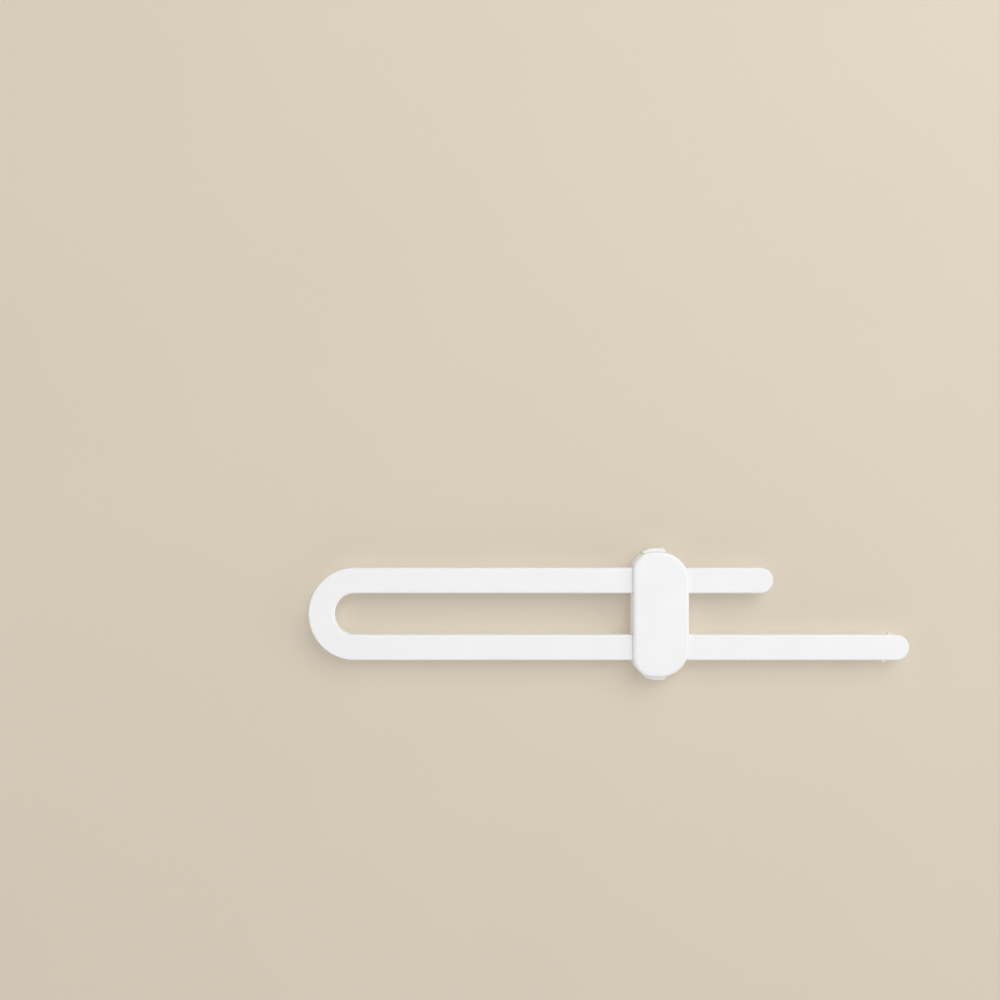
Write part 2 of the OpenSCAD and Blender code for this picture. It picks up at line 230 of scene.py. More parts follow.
class LockFinish(bpy.types.PropertyGroup):
    """Colours and finishes of the lock and its floor."""

    rail: colour("Rail", "White of the rail", (0.865, 0.865, 0.875))
    shell: colour("Shells", "White of the slider's shells", (0.87, 0.87, 0.88))
    button: colour("Buttons", "White of the squeeze buttons", (0.85, 0.85, 0.855))
    clouded: fraction("Clouding", "Share of its white that a moulding keeps where it is clouded", 0.975)
    sheen: fraction("Sheen", "Strength of the light that the mouldings mirror", 0.36)
    refraction: measure("Refraction", "Index of refraction of the plastic", 1.49)
    rubbed: fraction("Rubbed", "Roughness of the mouldings where they are rubbed smooth", 0.4)
    matt: fraction("Matt", "Roughness of the mouldings where they are matt", 0.56)
    grain_h: length("Grain", "Depth of the fine grain of the mouldings", 0.007)
    wave_h: length("Waves", "Depth of the slow waves in the mouldings", 0.1)
    wire: colour("Spring wire", "Steel of the springs", (0.56, 0.57, 0.59))
    zinc: colour("Screws", "Zinc plating of the screws", (0.8, 0.81, 0.83))
    dull: fraction("Dull streaks", "Share of its colour that metal keeps in its dull streaks", 0.72)
    streak_h: length("Streaks", "Depth of the streaks in the metal", 0.01)
    floor: colour("Floor", "Pale plain floor", (0.67, 0.6, 0.49))
    floor_clouded: fraction("Floor clouding", "Share of its tone that the floor keeps where clouded", 0.985)
    floor_matt: fraction("Floor roughness", "Roughness of the floor", 0.85)
    floor_sheen: fraction("Floor sheen", "Strength of the light that the floor mirrors", 0.2)
    backdrop: colour("Backdrop", "Tone that the floor fades to far out", (0.7, 0.64, 0.54))


class LockStage(bpy.types.PropertyGroup):
    """Camera and light."""

    camera: bpy.props.FloatVectorProperty(
        name="Camera", description="Place of the camera, which looks straight at the front face",
        default=(-0.0471, 0.0494, 0.453), size=3, subtype="TRANSLATION", unit="LENGTH")
    lens: measure("Lens", "Focal length for the sensor's width, in millimetres", 36.9)
    sensor: measure("Sensor", "Width of the camera's sensor, in millimetres", 36.0)
    key: measure("Key", "Power of the large lamp up and to the right", 5.0, unit="POWER")
    front: measure("Front", "Power of the large lamp in front", 4.45, unit="POWER")
    strip: measure("Strips", "Power of each low lamp at the left and below", 2.4, unit="POWER")
    right: measure("Right strip", "Power of the low lamp at the right", 3.5, unit="POWER")
    upper: measure("Upper strip", "Power of the low lamp at the top", 0.6, unit="POWER")
    under: measure("Under", "Power of the lamp under the floor", 5.5, unit="POWER")
    sky: measure("Sky", "Strength of the even light from all round", 0.36)
    sky_tone: colour("Sky tone", "Colour of the even light", (1.0, 0.99, 0.98))
    floor_reach: length("Floor", "How far the floor reaches to each side", 6000)
    fade_from: length("Fade start", "Distance at which the floor starts to fade", 350)
    fade_to: length("Fade end", "Distance at which only the backdrop's tone is left", 1000)


GROUPS = {
    "lock_rail": LockRailSizes,
    "lock_slider": LockSliderSizes,
    "lock_button": LockButtonSizes,
    "lock_metal": LockMetalSizes,
    "lock_finish": LockFinish,
    "lock_stage": LockStage,
}


class Surface:
    """Gathers the sheets and caps of one piece and makes them one mesh."""

    def __init__(self):
        self.points = []
        self.islands = []
        self.corners = []
        self.counts = []
        self.total = 0
        self.island = 0

    def begin(self):
        """Starts a body that is joined to none of those before it."""
        self.island += 1

    def add(self, points, corners, counts):
        """Adds points, the faces' corners in a row, and how many corners each face has."""
        points = points.reshape(-1, 3)
        self.points.append(points)
        self.islands.append(np.full(len(points), self.island))
        self.corners.append(corners + self.total)
        self.counts.append(counts)
        self.total += len(points)

    def sheet(self, grid, loop_u=False, loop_v=False):
        """Adds a grid of points: four neighbours make a face, and a looped side closes on itself."""
        nu, nv = grid.shape[:2]
        u, v = np.meshgrid(np.arange(nu - 1 + loop_u), np.arange(nv - 1 + loop_v), indexing="ij")
        next_u, next_v = (u + 1) % nu, (v + 1) % nv
        corners = np.stack([u * nv + v, next_u * nv + v, next_u * nv + next_v, u * nv + next_v], axis=-1)
        self.add(grid, corners.ravel(), np.full(u.size, 4))

    def cap(self, ring):
        """Adds one flat face with the ring's points as its corners."""
        self.add(ring, np.arange(len(ring)), np.array([len(ring)]))

    def mesh(self, name):
        """One mesh: points of a body that fall together become one, faces with under three corners go."""
        points = np.concatenate(self.points)
        corners = np.concatenate(self.corners)
        counts = np.concatenate(self.counts)
        keys = np.column_stack([np.concatenate(self.islands), np.round(points / WELD)]).astype(np.int64)
        _, first, same = np.unique(keys, axis=0, return_index=True, return_inverse=True)
        corners = same.ravel()[corners]
        starts = np.cumsum(counts) - counts
        before = np.roll(corners, 1)
        before[starts] = corners[starts + counts - 1]
        kept = corners != before
        left = np.add.reduceat(kept.astype(np.int64), starts)
        sound = left > 2
        kept &= np.repeat(sound, counts)
        corners, counts = corners[kept], left[sound]
        used, corners = np.unique(corners, return_inverse=True)
        points, islands = points[first[used]], keys[first[used], 0]
        corners = self.outwards(points, islands, corners, counts)
        mesh = bpy.data.meshes.new(name)
        mesh.vertices.add(len(points))
        mesh.vertices.foreach_set("co", points.astype(np.float32).ravel())
        mesh.loops.add(len(corners))
        mesh.loops.foreach_set("vertex_index", corners.astype(np.int32))
        mesh.polygons.add(len(counts))
        mesh.polygons.foreach_set("loop_start", (np.cumsum(counts) - counts).astype(np.int32))
        mesh.polygons.foreach_set("use_smooth", np.ones(len(counts), dtype=bool))
        mesh.update(calc_edges=True)
        mesh.validate()
        mesh.set_sharp_from_angle(angle=CRISP)
        return mesh

    def outwards(self, points, islands, corners, counts):
        """Corners with every body's faces turned out: a body with a signed volume below zero is turned round.

        The volume adds up the triple product of a face's first corner with each pair of corners that follow.
        """
        starts = np.repeat(np.cumsum(counts) - counts, counts)
        sizes = np.repeat(counts, counts)
        number = np.arange(len(corners))
        ahead = starts + (number - starts + 1) % sizes
        wedge = np.cross(points[corners], points[corners[ahead]])
        volume = np.bincount(islands[corners], weights=(points[corners[starts]] * wedge).sum(axis=1))
        wrong = volume[islands[corners]] < 0
        return corners[np.where(wrong, 2 * starts + sizes - 1 - number, number)]


def place(surface, name, node, material):
    """Links a finished piece, which rides on its node's body and stands for that node."""
    mesh = surface.mesh(name)
    mesh.materials.append(material)
    piece = bpy.data.objects.new(name, mesh)
    bpy.context.scene.collection.objects.link(piece)
    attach(piece, frame["nodes"][node]["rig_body"])
    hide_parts(node)
    return piece


def quarter(steps):
    """Sines and cosines of a quarter turn in equal steps."""
    angle = np.linspace(0.0, math.pi / 2, steps + 1)
    return np.sin(angle), np.cos(angle)


def circle(centre, radius, count=ROUND):
    """Points of a circle, evenly spaced from its lowest one."""
    angle = 2 * math.pi * np.arange(count) / count - math.pi / 2
    return np.stack([centre[0] + radius * np.cos(angle), centre[1] + radius * np.sin(angle)], axis=-1)


def arc(centre, radius, start, stop, count):
    """Points of an arc between two angles in degrees."""
    angle = np.radians(np.linspace(start, stop, count))
    return np.stack([centre[0] + radius * np.cos(angle), centre[1] + radius * np.sin(angle)], axis=-1)


def rounded(corners, radius, steps=5):
    """An outline with each corner replaced by an arc that touches both of its sides."""
    corner = np.asarray(corners, dtype=float)
    back = np.roll(corner, 1, axis=0) - corner
    ahead = np.roll(corner, -1, axis=0) - corner
    back /= np.linalg.norm(back, axis=1, keepdims=True)
    ahead /= np.linalg.norm(ahead, axis=1, keepdims=True)
    half = np.arccos(np.clip((back * ahead).sum(axis=1), -1, 1))[:, None] / 2
    middle = back + ahead
    centre = corner + middle / np.linalg.norm(middle, axis=1, keepdims=True) * radius / np.sin(half)
    first = corner + back * radius / np.tan(half) - centre
    last = corner + ahead * radius / np.tan(half) - centre
    share = np.linspace(0, 1, steps + 1)[None, :, None]
    swing = (math.pi - 2 * half)[:, None, :]
    spread = np.sin((1 - share) * swing) * first[:, None] + np.sin(share * swing) * last[:, None]
    return (centre[:, None] + spread / np.sin(swing)).reshape(-1, 2)


def drawn_in(outline, inset):
    """An outline drawn in by an inset: each point moves along the mitre of its two sides."""
    side = np.roll(outline, -1, axis=0) - outline
    normal = np.stack([side[:, 1], -side[:, 0]], axis=-1)
    normal /= np.linalg.norm(normal, axis=1, keepdims=True)
    before = np.roll(normal, 1, axis=0)
    mitre = (normal + before) / (1 + (normal * before).sum(axis=1, keepdims=True))
    area = (outline[:, 0] * side[:, 1] - outline[:, 1] * side[:, 0]).sum()
    return outline - np.sign(area) * inset * mitre


def lifted(outline, height, along="z"):
    """Flat points set at a height along Z, or an outline in X and Z set at a place along Y."""
    flat = np.full(len(outline), height)
    columns = [outline[:, 0], outline[:, 1], flat] if along == "z" else [outline[:, 0], flat, outline[:, 1]]
    return np.stack(columns, axis=-1)


def prism(surface, outline, low, high, edge, along="z", steps=4):
    """Carries an outline from low to high: rings at inset e(1 - sin t), depth e(1 - cos t) at both rims."""
    surface.begin()
    sine, cosine = quarter(steps)
    inset = np.concatenate([[edge + FLAT], edge * (1 - sine), [0.0]])
    depth = np.concatenate([[0.0], edge * (1 - cosine), [edge + FLAT]])
    insets = np.concatenate([inset, inset[::-1]])
    heights = np.concatenate([high - depth, (low + depth)[::-1]])
    rings = np.stack([lifted(drawn_in(outline, d), z, along) for d, z in zip(insets, heights)])
    surface.sheet(rings, loop_v=True)
    surface.cap(rings[0])
    surface.cap(rings[-1][::-1])


def box_outline(x0, x1, y0, y1, edge):
    """A rectangle with round corners, wide enough for a prism with that edge."""
    return rounded([[x0, y0], [x1, y0], [x1, y1], [x0, y1]], edge + 2 * FLAT)


def lathe(surface, profile, centre, count=ROUND):
    """Turns a profile of radii and heights about an upright axis."""
    radius, height = np.asarray(profile, dtype=float).T
    ring = circle((0.0, 0.0), 1.0, count)[::-1]
    grid = np.empty((count, len(radius), 3))
    grid[..., 0] = centre[0] + ring[:, :1] * radius
    grid[..., 1] = centre[1] + ring[:, 1:] * radius
    grid[..., 2] = height
    surface.sheet(grid, loop_u=True)


# A pattern that isn't stretched along any axis
EVEN = (1.0, 1.0, 1.0)
# Marks drawn out along the rail, and along a screw's axis
RUBBED_ALONG = (0.05, 1.0, 1.0)
DRAWN_ALONG = (1.0, 1.0, 0.3)
# How many features a metre has in the patterns on a moulding, on the floor, on drawn wire and on plating
CLOUDS, GRAIN, WAVES, RUBS = 70.0, 2600.0, 90.0, 800.0
FLOOR_CLOUDS = 9.0
DRAWN, PLATED = 5000.0, 2400.0


class Shader:
    """A material under construction: adds nodes and joins them."""

    def __init__(self, name):
        self.material = bpy.data.materials.new(name)
        self.material.use_nodes = True
        self.tree = self.material.node_tree
        self.surface = self.tree.nodes["Principled BSDF"]

    def node(self, kind, inputs=None, **settings):
        """A node with its settings and its inputs, each a value or the socket that feeds it."""
        node = self.tree.nodes.new("ShaderNode" + kind)
        for key, value in settings.items():
            setattr(node, key, value)
        self.feed(node, inputs or {})
        return node

    def feed(self, node, inputs):
        """Sets a node's inputs, each from a value or a socket."""
        for key, value in inputs.items():
            if isinstance(value, bpy.types.NodeSocket):
                self.tree.links.new(value, node.inputs[key])
            else:
                node.inputs[key].default_value = value

    def noise(self, stretch, scale, detail=2.0, roughness=0.5):
        """Noise on the piece's own coordinates, stretched by a factor along each axis; scale is per metre."""
        own = self.node("TexCoord").outputs["Object"]
        mapped = self.node("Mapping", {"Vector": own, "Scale": stretch}).outputs["Vector"]
        made = self.node(
            "TexNoise", {"Vector": mapped, "Scale": scale, "Detail": detail, "Roughness": roughness})
        return made.outputs["Fac"]

    def spread(self, value, low, high, start=0.3, stop=0.7):
        """Carries a value from the range start to stop over to the range low to high."""
        made = self.node("MapRange", {
            "Value": value, "From Min": start, "From Max": stop, "To Min": low, "To Max": high})
        return made.outputs["Result"]

    def tint(self, fac, first, second):
        """Mixes two colours by a factor."""
        made = self.node("Mix", {"Factor": fac}, data_type="RGBA")
        ends = [socket for socket in made.inputs if socket.type == "RGBA"]
        for socket, tone in zip(ends, (first, second)):
            socket.default_value = (*tone, 1.0)
        return next(socket for socket in made.outputs if socket.type == "RGBA")

    def bump(self, height, distance, normal=None):
        """A bump of a height between 0 and 1 times a distance in metres, over another one if given."""
        inputs = {"Height": height, "Distance": distance, "Strength": 1.0}
        if normal is not None:
            inputs["Normal"] = normal
        return self.node("Bump", inputs).outputs["Normal"]


def toned(colour_of, kept):
    """A colour brought down to the share of it that is kept."""
    return tuple(channel * kept for channel in colour_of)


def moulded_plastic(name, finish, white, rub=EVEN):
    """White moulded plastic: faint clouding, fine grain, slow waves, and rub marks drawn along one axis."""
    shader = Shader(name)
    cloud = shader.spread(shader.noise(EVEN, CLOUDS, 3.0), 0.0, 1.0)
    grain = shader.noise(EVEN, GRAIN, 2.0)
    waves = shader.noise(EVEN, WAVES, 1.0)
    marks = shader.noise(rub, RUBS, 4.0, 0.6)
    relief = shader.bump(waves, finish.wave_h)
    relief = shader.bump(grain, finish.grain_h, relief)
    shader.feed(shader.surface, {
        "Base Color": shader.tint(cloud, toned(white, finish.clouded), white),
        "Roughness": shader.spread(marks, finish.rubbed, finish.matt),
        "Normal": relief,
        "IOR": finish.refraction,
        "Specular IOR Level": finish.sheen,
    })
    return shader.material


def bare_metal(name, finish, metal, grind, scale, dullest, brightest):
    """Metal with drawing or plating marks: streaks in colour and roughness, and a shallow relief."""
    shader = Shader(name)
    streaks = shader.noise(grind, scale, 4.0, 0.65)
    shader.feed(shader.surface, {
        "Base Color": shader.tint(shader.spread(streaks, 0.0, 1.0), toned(metal, finish.dull), metal),
        "Roughness": shader.spread(streaks, dullest, brightest),
        "Normal": shader.bump(streaks, finish.streak_h),
        "Metallic": 1.0,
    })
    return shader.material


# Stations round a tip, up to where the groove runs out and from there on, and round the bow
MOUTH_STEPS, TIP_STEPS, BOW_STEPS = 12, 13, 97


def straight_stations(sizes, straight, nubs):
    """Places along an arm's straight, and how far the rack's teeth and each nub stand out there.

    A section changes only at teeth and nubs. A place that appears twice is a jump: the first of the two
    looks back and the second ahead. A tooth stands h(1 - s), with s the share of the pitch past its steep
    face, under the slope of 45 degrees that blunts its tip. A nub is full over its first quarter, then falls
    to nothing.
    """
    pitch, tall, start = sizes.tooth_pitch, sizes.tooth_h, sizes.first_x
    low = math.ceil((sizes.rack_from - start) / pitch)
    high = math.floor((straight - sizes.rack_end - start) / pitch)
    steep = start + pitch * np.arange(low, high)
    blunt = sizes.tooth_blunt / (1 + tall / pitch)
    front, full, foot = -sizes.nub_w / 2, -sizes.nub_w / 4, sizes.nub_w / 2
    nub_x = np.array([at for at, _ in nubs])
    jumps = np.concatenate([steep, nub_x + front])
    plain = np.concatenate([
        [0.0, straight, start + pitch * high], steep + blunt, nub_x + full, nub_x + foot])
    x = np.concatenate([plain, jumps, jumps])
    look = np.repeat([0, -1, 1], [len(plain), len(jumps), len(jumps)])
    order = np.lexsort((look, x))
    x, looked = x[order], (x + look * TINY)[order]

    count = (looked - start) / pitch
    ahead = count - np.floor(count)
    height = np.minimum(tall * (1 - ahead), tall - sizes.tooth_blunt + ahead * pitch)
    tooth = np.where((count >= low) & (count < high), height, 0.0)
    stand = [np.interp(looked, [at + front, at + full, at + foot], [rise, rise, 0.0], left=0.0, right=0.0)
             for at, rise in nubs]
    return x, tooth, stand or np.zeros((2, len(x)))


def arm_sections(sizes, side, reach, nubs=()):
    """Stations along one arm, from the bow to the tip, as arrays that carried_rail turns into a surface.

    Round the tip, station t lies on the circle of the inset edge at angle t, and its rims point along that
    angle. Where that circle meets the groove's outer wall the groove runs out: the sections before it have
    the groove, those past it are open, and both lie at the same place.
    """
    tip_r = sizes.arm_w / 2
    inset_r = tip_r - sizes.edge
    root = tip_r - sizes.groove_wall_out
    straight = reach - tip_r
    middle = side * (sizes.bow_r + tip_r)
    x, tooth, (out_nub, in_nub) = straight_stations(sizes, straight, nubs)
    mouth = math.acos(root / inset_r)
    turn = np.concatenate([np.linspace(0, mouth, MOUTH_STEPS), np.linspace(mouth, math.pi / 2, TIP_STEPS)])
    past = np.repeat([0.0, 1.0], [MOUTH_STEPS, TIP_STEPS])
    sine, cosine = np.sin(turn), np.cos(turn)

    def row(on_straight, on_tip):
        """A value for every station of the straight, then for every one of the tip."""
        return np.concatenate([on_straight + 0 * x, on_tip + 0 * turn])

    return {
        "base": np.stack([row(x, straight + inset_r * sine), row(middle, middle)], axis=-1),
        "across": np.stack([row(0, 0), row(side, side)], axis=-1),
        "out": np.stack([row(0, sine), row(side, side * cosine)], axis=-1),
        "in": np.stack([row(0, sine), row(-side, -side * cosine)], axis=-1),
        "half": row(inset_r, inset_r * cosine),
        "open": row(0, past),
        "step": row(0, turn == mouth),
        "wall": row(root - tooth, root),
        "out_nub": row(out_nub, 0),
        "in_nub": row(in_nub, 0),
    }


def bow_sections(sizes):
    """Stations round the bow, from the lower arm to the upper: the section turns about the bow's centre."""
    tip_r = sizes.arm_w / 2
    angle = np.radians(np.linspace(270, 90, BOW_STEPS))
    spoke = np.stack([np.cos(angle), np.sin(angle)], axis=-1)
    none = np.zeros(BOW_STEPS)
    return {
        "base": spoke * (sizes.bow_r + tip_r),
        "across": spoke,
        "out": spoke,
        "in": -spoke,
        "half": none + tip_r - sizes.edge,
        "open": none,
        "step": none,
        "wall": none + tip_r - sizes.groove_wall_out,
        "out_nub": none,
        "in_nub": none,
    }


def carried_rail(sizes, stations):
    """Carries the rail's section along its stations.

    A point of the section lies at base + a across + b out + c in, at height z. Going round: across the
    front, over the outer edge, along the back wall, into the groove and out of it, and back over the inner
    edge. Where a station is open, the back lies at the groove's ceiling, so only a tongue is left.
    """
    edge = sizes.edge
    half, past, wall = stations["half"], stations["open"], stations["wall"]
    zero = np.zeros(len(half))
    low, top = RAIL_LOW[2], RAIL_HIGH[2]
    ceiling = low + sizes.groove_depth
    back = low + past * sizes.groove_depth
    rim = edge + past * (sizes.mouth_edge - edge)
    plain = (1 - past) * (1 - stations["step"])
    lip = sizes.groove_lip * plain
    inner_wall = -(sizes.arm_w / 2 - sizes.groove_wall_in)
    root = sizes.arm_w / 2 - sizes.groove_wall_out
    peak = root - sizes.tooth_h + sizes.tooth_blunt
    nub_low = (low + top - sizes.nub_t) / 2
    nub_high = (low + top + sizes.nub_t) / 2
    tongue = ceiling + sizes.mouth_edge
    nub_back = np.where(plain > 0, nub_low, back + rim)
    sine, cosine = quarter(7)
    flat = np.maximum(half - FLAT, 0)

    def side(nub):
        """Rim from the front face to the back: offset past the inset edge, and height."""
        front = [(edge * s + zero, top - edge * (1 - c) + zero) for s, c in zip(sine[1:], cosine[1:])]
        face = [(edge + zero, np.maximum(nub_high, tongue) + zero), (edge + nub, nub_high + zero),
                (edge + nub, tongue + zero), (edge + nub, nub_back), (edge + zero, nub_back),
                (edge + zero, back + rim + FLAT * plain)]
        rear = [(edge - rim + rim * c, back + rim * (1 - s)) for s, c in zip(sine, cosine)]
        return front + face + rear + [(zero, back)]

    def level(a, z):
        """A point of a flat stretch, kept between the two rims."""
        return np.clip(a, -flat, flat), z + zero

    front_face = [(-half, top + zero), *(level(a, top) for a in (-flat, zero, flat)), (half, top + zero)]
    groove = [
        level(flat, back), level(root + lip, back), level(wall + lip, back), level(wall, back + lip),
        level(wall, ceiling), level(np.minimum(wall, peak), ceiling), level(inner_wall, ceiling),
        level(inner_wall, back + lip), level(inner_wall - lip, back), level(-flat, back), (-half, back)]
    outer, inner = side(stations["out_nub"]), side(stations["in_nub"])
    rows = [(a, zero, zero, z) for a, z in front_face]
    rows += [(half, b, zero, z) for b, z in outer]
    rows += [(a, zero, zero, z) for a, z in groove]
    rows += [(-half, zero, c, z) for c, z in inner[::-1]]
    a, b, c, z = (np.stack([row[k] for row in rows], axis=1) for k in range(4))
    plan = (stations["base"][:, None] + a[..., None] * stations["across"][:, None]
            + b[..., None] * stations["out"][:, None] + c[..., None] * stations["in"][:, None])
    return np.concatenate([plan, z[..., None]], axis=-1)


class LOCK_OT_rail(bpy.types.Operator):
    """Makes the rail: a U-shaped moulding with a toothed groove in its back and two stop nubs"""

    bl_idname = "lock.rail"
    bl_label = "Rail"

    def execute(self, context):
        scene = context.scene
        sizes = RailPlan(scene)
        long_arm = arm_sections(sizes, -1, sizes.long_arm, [
            (sizes.long_arm - sizes.outer_nub_back, sizes.outer_nub_h),
            (sizes.long_arm - sizes.inner_nub_back, sizes.inner_nub_h)])
        short_arm = arm_sections(sizes, 1, sizes.short_arm)
        bow = bow_sections(sizes)
        stations = {key: np.concatenate([long_arm[key][::-1], bow[key], short_arm[key]]) for key in bow}
        grid = carried_rail(sizes, stations)
        grid[..., 0] += sizes.bow_x
        surface = Surface()
        surface.sheet(grid, loop_v=True)
        self.pin_marks(surface, sizes)
        finish = scene.lock_finish
        white = moulded_plastic("rail_white", finish, finish.rail, RUBBED_ALONG)
        place(surface, "rail_moulding", "rail", white)
        return {"FINISHED"}

    def pin_marks(self, surface, sizes):
        """Flat round marks of the ejector pins, evenly spaced on the ceiling of the groove in both arms."""
        ceiling = RAIL_LOW[2] + sizes.groove_depth
        for side, reach in ((-1, sizes.long_arm), (1, sizes.short_arm)):
            for x in np.arange(sizes.pin_pitch / 2, reach - sizes.arm_w, sizes.pin_pitch):
                y = side * (sizes.bow_r + sizes.arm_w / 2 - sizes.pin_d / 4)
                outline = circle((sizes.bow_x + x, y), sizes.pin_d / 2, 32)
                low, high = ceiling - sizes.pin_h, ceiling + sizes.pin_h
                prism(surface, outline, low, high, sizes.pin_h / 2, steps=1)


class RailPlan:
    """The rail's sizes, with those that follow from the frame."""

    def __init__(self, scene):
        self.sizes = scene.lock_rail
        self.bow_x = RAIL_LOW[0] + self.sizes.bow_r + self.sizes.arm_w
        self.long_arm = RAIL_HIGH[0] - self.bow_x
        teeth = pawl_teeth(scene)
        middle = (scene.lock_button.tab_near + scene.lock_button.tab_far) / 2
        # A tooth's steep face meets the pawl's last one where the slider rests
        self.first_x = SHELL_LOW[0] - self.bow_x + middle + teeth * self.sizes.tooth_pitch / 2

    def __getattr__(self, name):
        """Any other size is the rail's own property."""
        return getattr(self.sizes, name)


def pawl_teeth(scene):
    """Whole teeth that fit the width of a button."""
    button = scene.lock_button
    return math.floor((button.tab_far - button.tab_near) / scene.lock_rail.tooth_pitch + TINY)


class SliderPlan:
    """The slider's outline in plan, as stations that keep their order at every inset."""

    def __init__(self, scene):
        self.sizes = scene.lock_slider
        self.x0, self.x1 = SHELL_LOW[0], SHELL_HIGH[0]
        self.half = SHELL_HIGH[1]
        self.near = np.array([self.x0 + self.sizes.corner_near, self.half - self.sizes.corner_near])
        self.far = np.array([self.x1 - self.sizes.corner_far, self.half - self.sizes.corner_far])
        rail = scene.lock_rail
        self.slot_in = rail.bow_r - self.sizes.slide_gap
        self.slot_out = rail.bow_r + rail.arm_w + self.sizes.slide_gap
        self.window = (self.x0 + self.sizes.window_near, self.x0 + self.sizes.window_far)
        self.parting_z = COVER_HIGH[2] - self.sizes.lip_h
        self.front_in_z = RAIL_HIGH[2] + self.sizes.slide_gap
        # What each stretch of the outline's upper half is, and how many stations it has
        stretches = (("wall", 2), ("slot", 2), ("slot", 6), ("wall", 14), ("window", 12), ("window", 2),
                     ("window", 8), ("wall", 16), ("slot", 12), ("slot", 2), ("wall", 2))
        kinds, self.counts = zip(*stretches)
        upper = np.repeat(kinds, self.counts)
        self.kind = np.concatenate([upper, upper[::-1]])

    def outline(self, inset):
        """The plan drawn in by an inset: straight sides and round corners, from the near side over the upper
        end to the far side, then mirrored. The edges of slots and windows keep their place at every inset."""
        near_r, far_r = self.sizes.corner_near - inset, self.sizes.corner_far - inset
        x0, x1, top = self.x0 + inset, self.x1 - inset, self.half - inset
        near_slot = 180 - math.degrees(math.asin((self.slot_out - self.near[1]) / near_r))
        near_window = math.degrees(math.acos((self.window[0] - self.near[0]) / near_r))
        far_window = math.degrees(math.acos((self.window[1] - self.far[0]) / far_r))
        far_slot = math.degrees(math.asin((self.slot_out - self.far[1]) / far_r))
        n = self.counts
        upper = np.concatenate([
            np.linspace([x0, 0], [x0, self.slot_in], n[0]),
            np.linspace([x0, self.slot_in], [x0, self.near[1]], n[1]),
            arc(self.near, near_r, 180, near_slot, n[2]),
            arc(self.near, near_r, near_slot, near_window, n[3]),
            arc(self.near, near_r, near_window, 90, n[4]),
            np.linspace([self.near[0], top], [self.far[0], top], n[5]),
            arc(self.far, far_r, 90, far_window, n[6]),
            arc(self.far, far_r, far_window, far_slot, n[7]),
            arc(self.far, far_r, far_slot, 0, n[8]),
            np.linspace([x1, self.far[1]], [x1, self.slot_in], n[9]),
            np.linspace([x1, self.slot_in], [x1, 0], n[10]),
        ])
        return np.concatenate([upper, upper[::-1] * [1, -1]])

    def spine(self):
        """For each station, the nearest point of a line down the middle of the face."""
        plan = self.outline(0.0)
        middle = np.full(len(plan), (self.x0 + self.x1) / 2)
        return np.stack([middle, np.clip(plan[:, 1], -self.slot_in, self.slot_in)], axis=-1)

    def within(self, solid):
        """Which of the solid stations have solid ones on both sides."""
        return solid & np.roll(solid, 1) & np.roll(solid, -1)

    def rows(self, insets, heights):
        """Rings of the plan at given insets; each height is one number or one for each station."""
        return [np.column_stack([self.outline(d), np.broadcast_to(z, len(self.kind))])
                for d, z in zip(insets, heights)]

    def face(self, inset, edge_z, middle_z, shares):
        """Rings between the spine and the plan at an inset; the height falls with the square of the share."""
        spine, border = self.spine(), self.outline(inset)
        return [np.column_stack([spine + share * (border - spine),
                                 np.full(len(spine), middle_z + (edge_z - middle_z) * share ** 2)])
                for share in shares]


# Shares of the way from the middle of a face to its border at which it has rings
CROWN_SHARES = (0.0, 0.25, 0.5, 0.7, 0.85, 0.95)
CEILING_SHARES = (0.6, 0.0)


